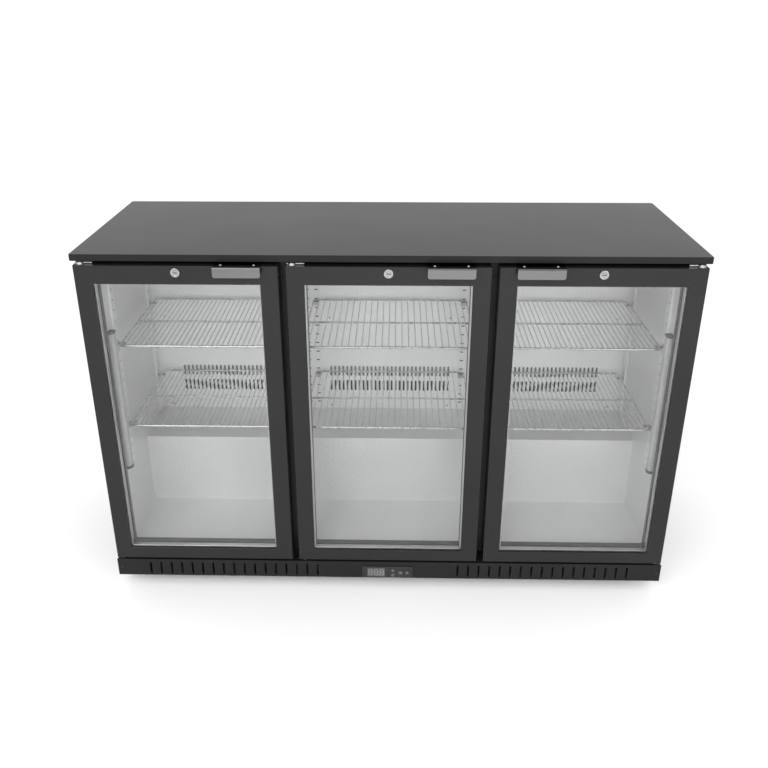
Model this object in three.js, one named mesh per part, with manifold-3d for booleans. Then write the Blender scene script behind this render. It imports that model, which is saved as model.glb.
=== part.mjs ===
// Three-door glass-front bottle cooler that stands under a counter.
// Millimetres, +X to the right, +Y to the back, +Z up.
// The origin is on the floor, under the middle of the bounding box.

import * as THREE from 'three';
import { mergeVertices } from 'three/addons/utils/BufferGeometryUtils.js';
import Module from 'manifold-3d';

const wasm = await Module();
wasm.setup();

// ---------------------------------------------------------------- driving dimensions

const GAP = 0.3;                    // air between pieces that touch on the real cooler
const SHEET = 3;                    // casing and liner sheet, folded edges included
const CUT = 1;                      // how far a cutting tool runs past the face it cuts

const TOP = { halfWidth: 675, front: -225, back: 255, bottom: 835, top: 850, corner: 4, chamfer: 1 };
const BODY = { halfWidth: 663, front: -185, back: 250, bottom: 77.5, top: 834.7 };
const ROOM = { halfWidth: 632, floor: 102, ceiling: 792, back: 222, humpFront: 0, ledge: 291 };
const MACHINE = { front: 31, ceiling: 261 };
const FOAM_TOP = 829.5;

const MULLION = { centre: 224.25, width: 75, depth: 25 };
const DOOR = { width: 433, front: -237, depth: 42, bottom: 81.5, top: 829 };
const RIM = { stile: 39, top: 40.5, bottom: 31, grip: 8 };
const GLASS = { front: -234.7, back: -214.1 };
const SEAL = { inset: 14, width: 14, bottom: 88, top: 805, back: BODY.front - GAP };
const PIN = { inset: 13, y: -225, radius: 4, clearance: 0.15, length: 17 };
const HINGE = { outer: 11, inner: 26, boss: 8, neck: -224, thick: 3, topPlate: 830, back: -150, flangeTop: 87.5 };
const BOTTOM_PLATE = BODY.bottom + GAP;

const LOCK = { z: 815, rim: 10, barrel: 8, plug: 5, proud: 2.5, cam: 22, camWidth: 10 };
const CAM = { front: -193, back: -191 };
const CAM_RECESS = { halfWidth: 20, front: -197, back: -187, top: 843 };
const HANDLE = { width: 100, endInset: 35, front: -255, back: -215, bottom: 809, thick: 2, bend: 3, corner: 4 };

const SHELF = { width: 404, front: -159, back: 166, wire: 3, bar: 6, thick: 4 };
const SHELF_LEVELS = { lower: 407, upper: 613 };
const PILASTER = { depth: 5, wall: 1.2, bottom: 300, top: 785, sideWidth: 24, rearWidth: 42 };
const LAMP = { depth: 14, front: -181, back: -163, bottom: 300, top: 656 };
const DUCT = { front: 172, thick: 2 };
const VENT = { slots: 15, pitch: 22, slot: 10 };   // each slot stands for a pair of narrow ones
const VENT_ROWS = [[346, 377], [390, 420]];
const VENT_CENTRES = [-401, 0, 401];

const TRAY = { halfWidth: 660, front: -232, back: 245, bottom: 30, sheet: 2 };
const KICK = { halfWidth: 667, front: -237, thick: 2, bottom: 30, top: 77.2 };
const KICK_SLOT = { first: 172, pitch: 25.8, count: 17, width: 5, bottom: 35, top: 69 };
const PANEL = { halfWidth: 62, bottom: 31.5, top: 64.5, proud: 1.6, depth: 32, frame: 4 };
const KEY = { half: 6, z: 47, proud: 0.6, length: 4, pocket: 4 };
const FOOT = { x: 600, front: -150, back: 190, pad: 24, stem: 10, stud: 5, studTop: 52 };
const GRILLE = {
  halfWidth: 650,
  front: BODY.back + GAP,
  thick: 2,
  bottom: 31,
  top: 258,
  edge: 40,
  slots: 22,
  pitch: 20,
  width: 10,
  middle: -120,
  gland: [480, 120],
  glandRadius: 11,
  cable: 5,
};

const ROUND = 20;                   // sides of a round piece
const SMALL_ROUND = 16;             // sides of a small or hidden round piece

const BAYS = {
  left: { centre: -448.5, hinge: -1, shelf: -416, wires: 35 },
  middle: { centre: 0, hinge: -1, shelf: 0, wires: 27 },
  right: { centre: 448.5, hinge: 1, shelf: 416, wires: 35 },
};

// ---------------------------------------------------------------- materials

function finish(colour, roughness, metalness) {
  return new THREE.MeshStandardMaterial({ color: colour, roughness, metalness });
}

const MATERIALS = {
  worktop: finish(0x2b2c2e, 0.45, 0.3),
  casing: finish(0x0d0d0e, 0.5, 0.2),
  doorFrame: finish(0x0a0a0b, 0.28, 0.2),
  stucco: finish(0xc4c8cb, 0.38, 0.9),
  foam: finish(0xd8c690, 0.9, 0),
  glass: finish(0xdfe7e8, 0.05, 0),
  seal: finish(0x161617, 0.8, 0),
  silver: finish(0xb9bcbe, 0.35, 0.9),
  chrome: finish(0xd5d6d8, 0.15, 1),
  wire: finish(0xc9ccce, 0.3, 0.9),
  lamp: finish(0xf6f6f2, 0.5, 0),
  plastic: finish(0x141415, 0.4, 0),
  key: finish(0x2a2b2d, 0.45, 0),
  galvanised: finish(0x9da2a5, 0.45, 0.8),
  fins: finish(0xb8bcbf, 0.4, 0.9),
  enamel: finish(0x111112, 0.35, 0.4),
  fan: finish(0x1b1b1c, 0.6, 0),
};

// ---------------------------------------------------------------- geometry helpers

function box(x0, x1, y0, y1, z0, z1) {
  const geometry = new THREE.BoxGeometry(x1 - x0, y1 - y0, z1 - z0);
  return geometry.translate((x0 + x1) / 2, (y0 + y1) / 2, (z0 + z1) / 2);
}

// A cylinder along 'x', 'y' or 'z' from one end to the other, centred on the two other coordinates.
function rod(axis, centre, radius, from, to, sides = ROUND) {
  const geometry = new THREE.CylinderGeometry(radius, radius, to - from, sides);
  geometry.translate(0, (from + to) / 2, 0);
  if (axis === 'x') {
    geometry.rotateZ(-Math.PI / 2);
    return geometry.translate(0, centre[0], centre[1]);
  }
  if (axis === 'y') {
    return geometry.translate(centre[0], 0, centre[1]);
  }
  geometry.rotateX(Math.PI / 2);
  return geometry.translate(centre[0], centre[1], 0);
}

// The radius that keeps a many-sided hole clear of a round pin.
function holeRadius(pinRadius, clearance, sides = ROUND) {
  return (pinRadius + clearance) / Math.cos(Math.PI / sides);
}

function outline(points) {
  return new THREE.Shape(points.map(([a, b]) => new THREE.Vector2(a, b)));
}

// A slab drawn in X and Y that grows up from z0 to z1.
function slabZ(shape, z0, z1) {
  const geometry = new THREE.ExtrudeGeometry(shape, { depth: z1 - z0, bevelEnabled: false, curveSegments: 6 });
  return geometry.translate(0, 0, z0);
}

// A slab drawn in X and Z, between the planes y0 and y1.
function slabY(shape, y0, y1) {
  const geometry = new THREE.ExtrudeGeometry(shape, { depth: y1 - y0, bevelEnabled: false, curveSegments: 6 });
  geometry.rotateX(Math.PI / 2);
  return geometry.translate(0, y1, 0);
}

// A bar with its section drawn in Y and Z, between the planes x0 and x1.
function barX(shape, x0, x1) {
  const geometry = new THREE.ExtrudeGeometry(shape, { depth: x1 - x0, bevelEnabled: false, curveSegments: 6 });
  const alongX = new THREE.Matrix4().makeBasis(
    new THREE.Vector3(0, 1, 0),
    new THREE.Vector3(0, 0, 1),
    new THREE.Vector3(1, 0, 0),
  );
  geometry.applyMatrix4(alongX);
  return geometry.translate(x0, 0, 0);
}

function solidOf(geometry) {
  const bare = geometry.index ? geometry.toNonIndexed() : geometry.clone();
  bare.deleteAttribute('normal');
  bare.deleteAttribute('uv');
  const merged = mergeVertices(bare, 1e-4);
  const vertProperties = Float32Array.from(merged.attributes.position.array);
  const triVerts = Uint32Array.from(merged.index.array);
  return new wasm.Manifold(new wasm.Mesh({ numProp: 3, vertProperties, triVerts }));
}

function geometryOf(solid) {
  const mesh = solid.getMesh();
  const geometry = new THREE.BufferGeometry();
  geometry.setAttribute('position', new THREE.BufferAttribute(mesh.vertProperties, 3));
  geometry.setIndex(new THREE.BufferAttribute(mesh.triVerts, 1));
  return geometry;
}

function joined(geometries) {
  return geometryOf(geometries.map(solidOf).reduce((whole, piece) => whole.add(piece)));
}

function cut(geometry, tools) {
  return geometryOf(tools.map(solidOf).reduce((whole, tool) => whole.subtract(tool), solidOf(geometry)));
}

function common(first, second) {
  return geometryOf(solidOf(first).intersect(solidOf(second)));
}

const cooler = new THREE.Group();

function add(name, geometry, material) {
  const mesh = new THREE.Mesh(geometry, material);
  mesh.name = name;
  cooler.add(mesh);
}

// ---------------------------------------------------------------- worktop

function worktopGeometry() {
  const { halfWidth, front, back, bottom, top, corner, chamfer } = TOP;
  const shape = new THREE.Shape();
  shape.moveTo(-halfWidth + corner, front);
  shape.lineTo(halfWidth - corner, front);
  shape.absarc(halfWidth - corner, front + corner, corner, -Math.PI / 2, 0);
  shape.lineTo(halfWidth, back);
  shape.lineTo(-halfWidth, back);
  shape.lineTo(-halfWidth, front + corner);
  shape.absarc(-halfWidth + corner, front + corner, corner, Math.PI, Math.PI * 1.5);
  const slab = new THREE.ExtrudeGeometry(shape, {
    depth: top - bottom - 2 * chamfer,
    bevelThickness: chamfer,
    bevelSize: chamfer,
    bevelOffset: -chamfer,
    bevelSegments: 1,
    curveSegments: 4,
  });
  slab.translate(0, 0, bottom + chamfer);
  const { halfWidth: reach, front: y0, back: y1, top: z1 } = CAM_RECESS;
  const recesses = Object.values(BAYS).map(({ centre }) => (
    box(centre - reach, centre + reach, y0, y1, bottom - CUT, z1)
  ));
  return cut(slab, recesses);
}

// ---------------------------------------------------------------- cabinet

// The stepped side profile of a hollow that clears the machine compartment at the lower back.
function steppedProfile(front, floor, stepFront, ledge, back, ceiling) {
  return outline([
    [front, floor],
    [stepFront, floor],
    [stepFront, ledge],
    [back, ledge],
    [back, ceiling],
    [front, ceiling],
  ]);
}

function hingeX(bay) {
  return bay.centre + bay.hinge * (DOOR.width / 2 - PIN.inset);
}

// The hinge plate starts at the door's hinged edge and reaches further on the other side of the pin.
function hingeSpan(bay) {
  const x = hingeX(bay);
  const { outer, inner } = HINGE;
  return bay.hinge < 0 ? [x - outer, x + inner] : [x - inner, x + outer];
}

function shellGeometry() {
  const { halfWidth, front, back, bottom, top } = BODY;
  const inside = halfWidth - SHEET;
  const hollow = barX(
    steppedProfile(front + SHEET, bottom + SHEET, MACHINE.front - SHEET, MACHINE.ceiling + SHEET, back - SHEET,
      top - SHEET),
    -inside,
    inside,
  );
  const machineRoom = box(-inside, inside, MACHINE.front, back + CUT, bottom - CUT, MACHINE.ceiling);
  const doorway = box(-ROOM.halfWidth, ROOM.halfWidth, front - CUT, front + 2 * SHEET, ROOM.floor, ROOM.ceiling);
  const hingeSeats = Object.values(BAYS).map((bay) => {
    const [left, right] = hingeSpan(bay);
    return box(left - GAP, right + GAP, front - CUT, HINGE.back + GAP, HINGE.topPlate - GAP, top + CUT);
  });
  return cut(box(-halfWidth, halfWidth, front, back, bottom, top), [hollow, machineRoom, doorway, ...hingeSeats]);
}

function foamGeometry() {
  const outer = BODY.halfWidth - SHEET - GAP;
  const inner = ROOM.halfWidth + SHEET + GAP;
  const front = BODY.front + SHEET + GAP;
  const skin = SHEET + GAP;
  const block = barX(
    steppedProfile(front, BODY.bottom + skin, MACHINE.front - skin, MACHINE.ceiling + skin, BODY.back - skin,
      FOAM_TOP),
    -outer,
    outer,
  );
  const room = barX(
    steppedProfile(front - CUT, ROOM.floor - skin, ROOM.humpFront + skin, ROOM.ledge - skin, ROOM.back + skin,
      ROOM.ceiling + skin),
    -inner,
    inner,
  );
  return cut(block, [room]);
}

function linerGeometry() {
  const { halfWidth, floor, ceiling, back, humpFront, ledge } = ROOM;
  const front = BODY.front + SHEET + GAP;
  const outside = barX(
    steppedProfile(front, floor - SHEET, humpFront + SHEET, ledge - SHEET, back + SHEET, ceiling + SHEET),
    -halfWidth - SHEET,
    halfWidth + SHEET,
  );
  const inside = barX(steppedProfile(front - CUT, floor, humpFront, ledge, back, ceiling), -halfWidth, halfWidth);
  return cut(outside, [inside]);
}

function mullionGeometry(side) {
  const centre = side * MULLION.centre;
  const half = MULLION.width / 2;
  const front = BODY.front;
  return box(centre - half, centre + half, front, front + MULLION.depth, ROOM.floor + GAP, ROOM.ceiling - GAP);
}

// ---------------------------------------------------------------- inside fittings

function ductCoverGeometry() {
  const half = ROOM.halfWidth - GAP;
  const back = DUCT.front + DUCT.thick;
  const slots = [];
  for (const centre of VENT_CENTRES) {
    for (const [bottom, top] of VENT_ROWS) {
      for (let slot = 0; slot < VENT.slots; slot += 1) {
        const x = centre + (slot - (VENT.slots - 1) / 2) * VENT.pitch;
        slots.push(box(x - VENT.slot / 2, x + VENT.slot / 2, DUCT.front - CUT, back + CUT, bottom, top));
      }
    }
  }
  return cut(box(-half, half, DUCT.front, back, ROOM.ledge + GAP, ROOM.ceiling - GAP), slots);
}

// A shallow channel along Z: the web faces the room and the two edges stand against the wall.
function pilasterSection(width) {
  const { depth, wall } = PILASTER;
  const half = width / 2;
  return outline([
    [-half, 0],
    [half, 0],
    [half, depth],
    [half - wall, depth],
    [half - wall, wall],
    [-half + wall, wall],
    [-half + wall, depth],
    [-half, depth],
  ]);
}

function rearPilasterGeometry(x) {
  const channel = slabZ(pilasterSection(PILASTER.rearWidth), PILASTER.bottom, PILASTER.top);
  return channel.translate(x, DUCT.front - GAP - PILASTER.depth, 0);
}

function sidePilasterGeometry(side, y) {
  const channel = slabZ(pilasterSection(PILASTER.sideWidth), PILASTER.bottom, PILASTER.top);
  channel.rotateZ(-side * Math.PI / 2);
  return channel.translate(side * (ROOM.halfWidth - GAP - PILASTER.depth), y, 0);
}

function lampGeometry(side) {
  const wall = ROOM.halfWidth - GAP;
  const face = ROOM.halfWidth - LAMP.depth;
  const [x0, x1] = side < 0 ? [-wall, -face] : [face, wall];
  const bevel = LAMP.depth / 2;
  const inner = side < 0 ? x1 : x0;
  const towardWall = inner + side * bevel;
  const section = outline([
    [side * wall, LAMP.front],
    [towardWall, LAMP.front],
    [inner, LAMP.front + bevel],
    [inner, LAMP.back],
    [side * wall, LAMP.back],
  ]);
  return common(slabZ(section, LAMP.bottom, LAMP.top), box(x0, x1, LAMP.front, LAMP.back, LAMP.bottom, LAMP.top));
}

// A flat grid: wires from front to back, between a bar at the front and a bar at the back.
function shelfGeometry({ shelf: centre, wires }, z) {
  const { width, front, back, wire, bar, thick } = SHELF;
  const bottom = z - thick / 2;
  const top = z + thick / 2;
  const spaces = [];
  const pitch = (width - wire) / (wires - 1);
  for (let space = 0; space < wires - 1; space += 1) {
    const left = centre - width / 2 + wire + space * pitch;
    spaces.push(box(left, left + pitch - wire, front + bar, back - bar, bottom - CUT, top + CUT));
  }
  return cut(box(centre - width / 2, centre + width / 2, front, back, bottom, top), spaces);
}

// ---------------------------------------------------------------- cooling system

// Upright fins on a common back plate, as a comb drawn in X and Y.
function finBlock(x0, x1, y0, y1, z0, z1, fins) {
  const pitch = (x1 - x0) / (2 * fins - 1);
  const root = y1 - 4;
  const points = [[x0, y1]];
  for (let fin = 0; fin < fins; fin += 1) {
    const left = x0 + 2 * fin * pitch;
    const right = left + pitch;
    points.push([left, fin === 0 ? y0 : root], [left, y0], [right, y0], [right, root]);
  }
  points.splice(1, 1);
  points.pop();
  points.push([x1, y1]);
  return slabZ(outline(points), z0, z1);
}

// A fan wheel drawn about +Z through the origin, with a bored hub and flat blades set at an angle.
function fanWheel(radius, hub, bore, height, blades) {
  const tilt = 0.5;
  const bladeGeometry = (turn) => {
    const blade = box(hub * 0.7, radius, -height * 0.75, height * 0.75, -0.8, 0.8);
    blade.rotateX(tilt);
    blade.rotateZ(turn);
    return blade;
  };
  const pieces = [rod('z', [0, 0], hub, -height / 2, height / 2)];
  for (let blade = 0; blade < blades; blade += 1) {
    pieces.push(bladeGeometry((2 * Math.PI * blade) / blades));
  }
  return cut(joined(pieces), [rod('z', [0, 0], bore, -height, height, SMALL_ROUND)]);
}

const EVAPORATOR = { x0: -330, x1: -60, y0: 180, y1: 216, z0: 470, z1: 670, fins: 16 };
const EVAPORATOR_FAN = { x: 20, z: 570, radius: 55, hub: 15, shaft: 3, motor: 24, motorFront: 198, y: 187 };

function evaporatorGeometry() {
  const { x0, x1, y0, y1, z0, z1, fins } = EVAPORATOR;
  const { x, z, shaft, motor, motorFront, y } = EVAPORATOR_FAN;
  return joined([
    finBlock(x0, x1, y0, y1, z0, z1, fins),
    box(x1 - 4, x + motor, y1 - 3, y1, z - motor, z + motor),
    rod('y', [x, z], motor, motorFront, y1),
    rod('y', [x, z], shaft, y - 10, motorFront + 1, SMALL_ROUND),
  ]);
}

function evaporatorFanGeometry() {
  const { x, z, radius, hub, shaft, y } = EVAPORATOR_FAN;
  const wheel = fanWheel(radius, hub, holeRadius(shaft, 0.1, SMALL_ROUND), 12, 5);
  wheel.rotateX(Math.PI / 2);
  return wheel.translate(x, y, z);
}

const CONDENSER = { x0: -400, x1: -340, y0: 60, y1: 225, z0: 33, z1: 235, fins: 8 };
const CONDENSER_FAN = {
  x: -315,
  y: 142,
  z: 142,
  radius: 78,
  hub: 20,
  shaft: 4,
  motor: 30,
  motorFront: -300,
  motorBack: -250,
};

function condenserGeometry() {
  const { x0, x1, y0, y1, z0, z1, fins } = CONDENSER;
  const { y, z, x, shaft, motor, motorFront, motorBack } = CONDENSER_FAN;
  return joined([
    finBlock(x0, x1, y0, y1, z0, z1, fins),
    box(x1 - 4, motorBack, y - motor, y + motor, z0, z0 + 4),
    box(motorFront + 10, motorBack - 10, y - 8, y + 8, z0, z),
    rod('x', [y, z], motor, motorFront, motorBack),
    rod('x', [y, z], shaft, x - 12, motorFront + 1, SMALL_ROUND),
  ]);
}

function condenserFanGeometry() {
  const { y, z, x, radius, hub, shaft } = CONDENSER_FAN;
  const wheel = fanWheel(radius, hub, holeRadius(shaft, 0.1, SMALL_ROUND), 16, 5);
  wheel.rotateY(Math.PI / 2);
  return wheel.translate(x, y, z);
}

const COMPRESSOR = { x: 0, y: 142, radius: 76, bottom: 46, top: 216, plate: 95 };

function compressorGeometry() {
  const { x, y, radius, bottom, top, plate } = COMPRESSOR;
  const shoulder = 26;
  const profile = [
    [0, bottom],
    [radius - shoulder, bottom],
    [radius - 8, bottom + 8],
    [radius, bottom + shoulder],
    [radius, top - 2 * shoulder],
    [radius - 8, top - shoulder],
    [radius - 34, top - 6],
    [0, top],
  ].map(([r, z]) => new THREE.Vector2(r, z));
  const dome = new THREE.LatheGeometry(profile, ROUND);
  dome.rotateX(Math.PI / 2);
  dome.translate(x, y, 0);
  const floor = TRAY.bottom + TRAY.sheet + GAP;
  const corners = [[-1, -1], [1, -1], [1, 1], [-1, 1]];
  const mounts = corners.map(([i, j]) => (
    rod('z', [x + i * (plate - 12), y + j * (plate - 25)], 9, floor, bottom + 2, SMALL_ROUND)
  ));
  return joined([
    dome,
    box(x - plate, x + plate, y - plate + 12, y + plate - 12, bottom - 2, bottom + 2),
    ...mounts,
  ]);
}

// ---------------------------------------------------------------- base

const FEET = {
  front_left: [-FOOT.x, FOOT.front],
  front_right: [FOOT.x, FOOT.front],
  rear_left: [-FOOT.x, FOOT.back],
  rear_right: [FOOT.x, FOOT.back],
};

function trayGeometry() {
  const { halfWidth, front, back, bottom, sheet } = TRAY;
  const flangeTop = BODY.bottom - GAP;
  const studHoles = Object.values(FEET).map((place) => (
    rod('z', place, holeRadius(FOOT.stud, 0.15, SMALL_ROUND), bottom - CUT, bottom + sheet + CUT, SMALL_ROUND)
  ));
  const inside = halfWidth - sheet;
  const block = box(-halfWidth, halfWidth, front, back, bottom, flangeTop);
  const channel = box(-inside, inside, front - CUT, back + CUT, bottom + sheet, flangeTop + CUT);
  return cut(block, [channel, ...studHoles]);
}

function footGeometry([x, y]) {
  const { pad, stem, stud, studTop } = FOOT;
  const shoulder = TRAY.bottom - GAP;
  const profile = [
    [0, 0],
    [pad, 0],
    [pad, 5],
    [stem + 2, 11],
    [stem, shoulder],
    [stud, shoulder],
    [stud, studTop],
    [0, studTop],
  ].map(([r, z]) => new THREE.Vector2(r, z));
  const foot = new THREE.LatheGeometry(profile, SMALL_ROUND);
  foot.rotateX(Math.PI / 2);
  return foot.translate(x, y, 0);
}

function kickPlateGeometry() {
  const { front, thick, bottom, top } = KICK;
  const back = front + thick;
  const holes = [];
  const { first, pitch, count, width, bottom: z0, top: z1 } = KICK_SLOT;
  for (let slot = 0; slot < count; slot += 1) {
    for (const side of [-1, 1]) {
      const x = side * (first + slot * pitch);
      holes.push(box(x - width / 2, x + width / 2, front - CUT, back + CUT, z0, z1));
    }
  }
  const rim = PANEL.frame - GAP;
  const half = PANEL.halfWidth - rim;
  holes.push(box(-half, half, front - CUT, back + CUT, PANEL.bottom + rim, PANEL.top - rim));
  return cut(box(-KICK.halfWidth, KICK.halfWidth, front, back, bottom, top), holes);
}

const KEYS = { set: 32, defrost: 48 };

function controllerGeometry() {
  const { halfWidth, bottom, top, proud, depth, frame } = PANEL;
  const faceBack = KICK.front - GAP;
  const face = faceBack - proud;
  const inner = halfWidth - frame;
  const reach = KEY.half + GAP;
  const pockets = Object.values(KEYS).map((x) => (
    box(x - reach, x + reach, face - CUT, face + KEY.length + KEY.pocket, KEY.z - reach, KEY.z + reach)
  ));
  const housing = joined([
    box(-halfWidth, halfWidth, face, faceBack, bottom, top),
    box(-inner, inner, faceBack - CUT, faceBack + depth, bottom + frame, top - frame),
  ]);
  return cut(housing, pockets);
}

function keyGeometry(x) {
  const face = KICK.front - GAP - PANEL.proud - KEY.proud;
  return box(x - KEY.half, x + KEY.half, face, face + KEY.length, KEY.z - KEY.half, KEY.z + KEY.half);
}

function rearGrilleGeometry() {
  const { halfWidth, front, thick, bottom, top, slots, pitch, width, edge, gland } = GRILLE;
  const back = front + thick;
  const holes = [rod('y', gland, GRILLE.cable, front - CUT, TOP.back + CUT, SMALL_ROUND)];
  for (let slot = 0; slot < slots; slot += 1) {
    const x = GRILLE.middle + (slot - (slots - 1) / 2) * pitch;
    holes.push(box(x - width / 2, x + width / 2, front - CUT, back + CUT, bottom + edge, top - edge));
  }
  const panel = joined([
    box(-halfWidth, halfWidth, front, back, bottom, top),
    rod('y', gland, GRILLE.glandRadius, front + thick / 2, TOP.back - GAP, SMALL_ROUND),
  ]);
  return cut(panel, holes);
}

// ---------------------------------------------------------------- doors

function doorSpan(bay) {
  return [bay.centre - DOOR.width / 2, bay.centre + DOOR.width / 2];
}

function doorFrameGeometry(bay) {
  const [left, right] = doorSpan(bay);
  const back = DOOR.front + DOOR.depth;
  const window = {
    left: left + RIM.stile,
    right: right - RIM.stile,
    bottom: DOOR.bottom + RIM.bottom,
    top: DOOR.top - RIM.top,
  };
  const opening = box(window.left, window.right, DOOR.front - CUT, back + CUT, window.bottom, window.top);
  const { grip } = RIM;
  const groove = box(window.left - grip, window.right + grip, GLASS.front - GAP, GLASS.back + GAP,
    window.bottom - grip, window.top + grip);
  const pinHole = holeRadius(PIN.radius, PIN.clearance);
  const pin = [hingeX(bay), PIN.y];
  const drilling = PIN.length + CUT;
  return cut(box(left, right, DOOR.front, back, DOOR.bottom, DOOR.top), [
    opening,
    groove,
    rod('z', pin, pinHole, DOOR.top - drilling, DOOR.top + CUT),
    rod('z', pin, pinHole, DOOR.bottom - CUT, DOOR.bottom + drilling),
    rod('y', [bay.centre, LOCK.z], holeRadius(LOCK.barrel, GAP), DOOR.front - CUT, back + CUT),
  ]);
}

function glassGeometry(bay) {
  const [left, right] = doorSpan(bay);
  const side = RIM.stile - RIM.grip + GAP;
  const bottom = DOOR.bottom + RIM.bottom - RIM.grip + GAP;
  const top = DOOR.top - RIM.top + RIM.grip - GAP;
  return box(left + side, right - side, GLASS.front, GLASS.back, bottom, top);
}

function gasketGeometry(bay) {
  const [left, right] = doorSpan(bay);
  const { inset, width, bottom, top, back } = SEAL;
  const front = DOOR.front + DOOR.depth + GAP;
  const [x0, x1] = [left + inset, right - inset];
  const middle = box(x0 + width, x1 - width, front - CUT, back + CUT, bottom + width, top - width);
  return cut(box(x0, x1, front, back, bottom, top), [middle]);
}

// A folded plate: one flange lies on the door, the other stands in front of it as the grip.
function handleGeometry(bay) {
  const { width, front, back, bottom, thick, bend, corner } = HANDLE;
  const under = DOOR.top + GAP;
  const top = under + thick;
  const section = new THREE.Shape();
  section.moveTo(back, under);
  section.lineTo(back, top);
  section.lineTo(front + bend, top);
  section.absarc(front + bend, top - bend, bend, Math.PI / 2, Math.PI);
  section.lineTo(front, bottom);
  section.lineTo(front + thick, bottom);
  section.lineTo(front + thick, under);
  const outerEnd = bay.centre - bay.hinge * (DOOR.width / 2 - HANDLE.endInset);
  const left = bay.hinge < 0 ? outerEnd - width : outerEnd;
  const right = left + width;
  const face = new THREE.Shape();
  face.moveTo(left + corner, bottom);
  face.lineTo(right - corner, bottom);
  face.absarc(right - corner, bottom + corner, corner, -Math.PI / 2, 0);
  face.lineTo(right, top + CUT);
  face.lineTo(left, top + CUT);
  face.absarc(left + corner, bottom + corner, corner, Math.PI, Math.PI * 1.5);
  return common(barX(section, left - CUT, right + CUT), slabY(face, front - CUT, back + CUT));
}

// A plate that narrows to a round boss at the pin, drawn in X and Y.
function hingeOutline(bay, back) {
  const { boss, neck } = HINGE;
  const x = hingeX(bay);
  const [left, right] = hingeSpan(bay);
  const shape = new THREE.Shape();
  shape.moveTo(right, back);
  shape.lineTo(left, back);
  shape.lineTo(left, neck);
  shape.lineTo(x - boss, PIN.y);
  shape.absarc(x, PIN.y, boss, Math.PI, 2 * Math.PI);
  shape.lineTo(right, neck);
  return shape;
}

function topHingeGeometry(bay) {
  const x = hingeX(bay);
  const { topPlate, thick, back } = HINGE;
  return joined([
    slabZ(hingeOutline(bay, back), topPlate, topPlate + thick),
    rod('z', [x, PIN.y], PIN.radius, DOOR.top - PIN.length, topPlate + 1),
  ]);
}

function bottomHingeGeometry(bay) {
  const x = hingeX(bay);
  const [left, right] = hingeSpan(bay);
  const { thick, flangeTop } = HINGE;
  const back = BODY.front - GAP;
  return joined([
    slabZ(hingeOutline(bay, back), BOTTOM_PLATE, BOTTOM_PLATE + thick),
    box(left, right, back - thick, back, BOTTOM_PLATE, flangeTop),
    rod('z', [x, PIN.y], PIN.radius, BOTTOM_PLATE + thick - 1, DOOR.bottom + PIN.length),
  ]);
}

function lockBodyGeometry(bay) {
  const centre = [bay.centre, LOCK.z];
  const rimBack = DOOR.front - GAP;
  const housing = joined([
    rod('y', centre, LOCK.rim, rimBack - LOCK.proud, rimBack),
    rod('y', centre, LOCK.barrel, rimBack - CUT, DOOR.front + DOOR.depth - CUT),
  ]);
  const bore = holeRadius(LOCK.plug, PIN.clearance);
  return cut(housing, [rod('y', centre, bore, rimBack - LOCK.proud - CUT, DOOR.front + DOOR.depth + CUT)]);
}

function lockPlugGeometry(bay) {
  const x = bay.centre;
  const face = DOOR.front - GAP - LOCK.proud + 0.4;
  const half = LOCK.camWidth / 2;
  const plug = joined([
    rod('y', [x, LOCK.z], LOCK.plug, face, CAM.back),
    box(x - half, x + LOCK.cam, CAM.front, CAM.back, LOCK.z - half, LOCK.z + half),
  ]);
  return cut(plug, [box(x - 3.4, x + 3.4, face - CUT, face + 6, LOCK.z - 0.7, LOCK.z + 0.7)]);
}

// ---------------------------------------------------------------- assembly

add('worktop', worktopGeometry(), MATERIALS.worktop);
add('cabinet_shell', shellGeometry(), MATERIALS.casing);
add('insulation_foam', foamGeometry(), MATERIALS.foam);
add('inner_liner', linerGeometry(), MATERIALS.stucco);
add('mullion_left', mullionGeometry(-1), MATERIALS.casing);
add('mullion_right', mullionGeometry(1), MATERIALS.casing);

add('duct_cover', ductCoverGeometry(), MATERIALS.stucco);
add('pilaster_rear_left', rearPilasterGeometry(-205), MATERIALS.silver);
add('pilaster_rear_right', rearPilasterGeometry(205), MATERIALS.silver);
for (const [sideName, side] of [['left', -1], ['right', 1]]) {
  add(`pilaster_${sideName}_front`, sidePilasterGeometry(side, -130), MATERIALS.silver);
  add(`pilaster_${sideName}_back`, sidePilasterGeometry(side, 145), MATERIALS.silver);
  add(`lamp_${sideName}`, lampGeometry(side), MATERIALS.lamp);
}
for (const [bayName, bay] of Object.entries(BAYS)) {
  for (const [levelName, z] of Object.entries(SHELF_LEVELS)) {
    add(`shelf_${bayName}_${levelName}`, shelfGeometry(bay, z), MATERIALS.wire);
  }
}

add('evaporator_coil', evaporatorGeometry(), MATERIALS.fins);
add('evaporator_fan', evaporatorFanGeometry(), MATERIALS.fan);
add('compressor', compressorGeometry(), MATERIALS.enamel);
add('condenser_coil', condenserGeometry(), MATERIALS.fins);
add('condenser_fan', condenserFanGeometry(), MATERIALS.fan);

add('base_tray', trayGeometry(), MATERIALS.galvanised);
add('rear_grille', rearGrilleGeometry(), MATERIALS.casing);
add('kick_plate', kickPlateGeometry(), MATERIALS.casing);
add('controller', controllerGeometry(), MATERIALS.plastic);
for (const [keyName, x] of Object.entries(KEYS)) {
  add(`controller_key_${keyName}`, keyGeometry(x), MATERIALS.key);
}
for (const [footName, place] of Object.entries(FEET)) {
  add(`foot_${footName}`, footGeometry(place), MATERIALS.seal);
}

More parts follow.
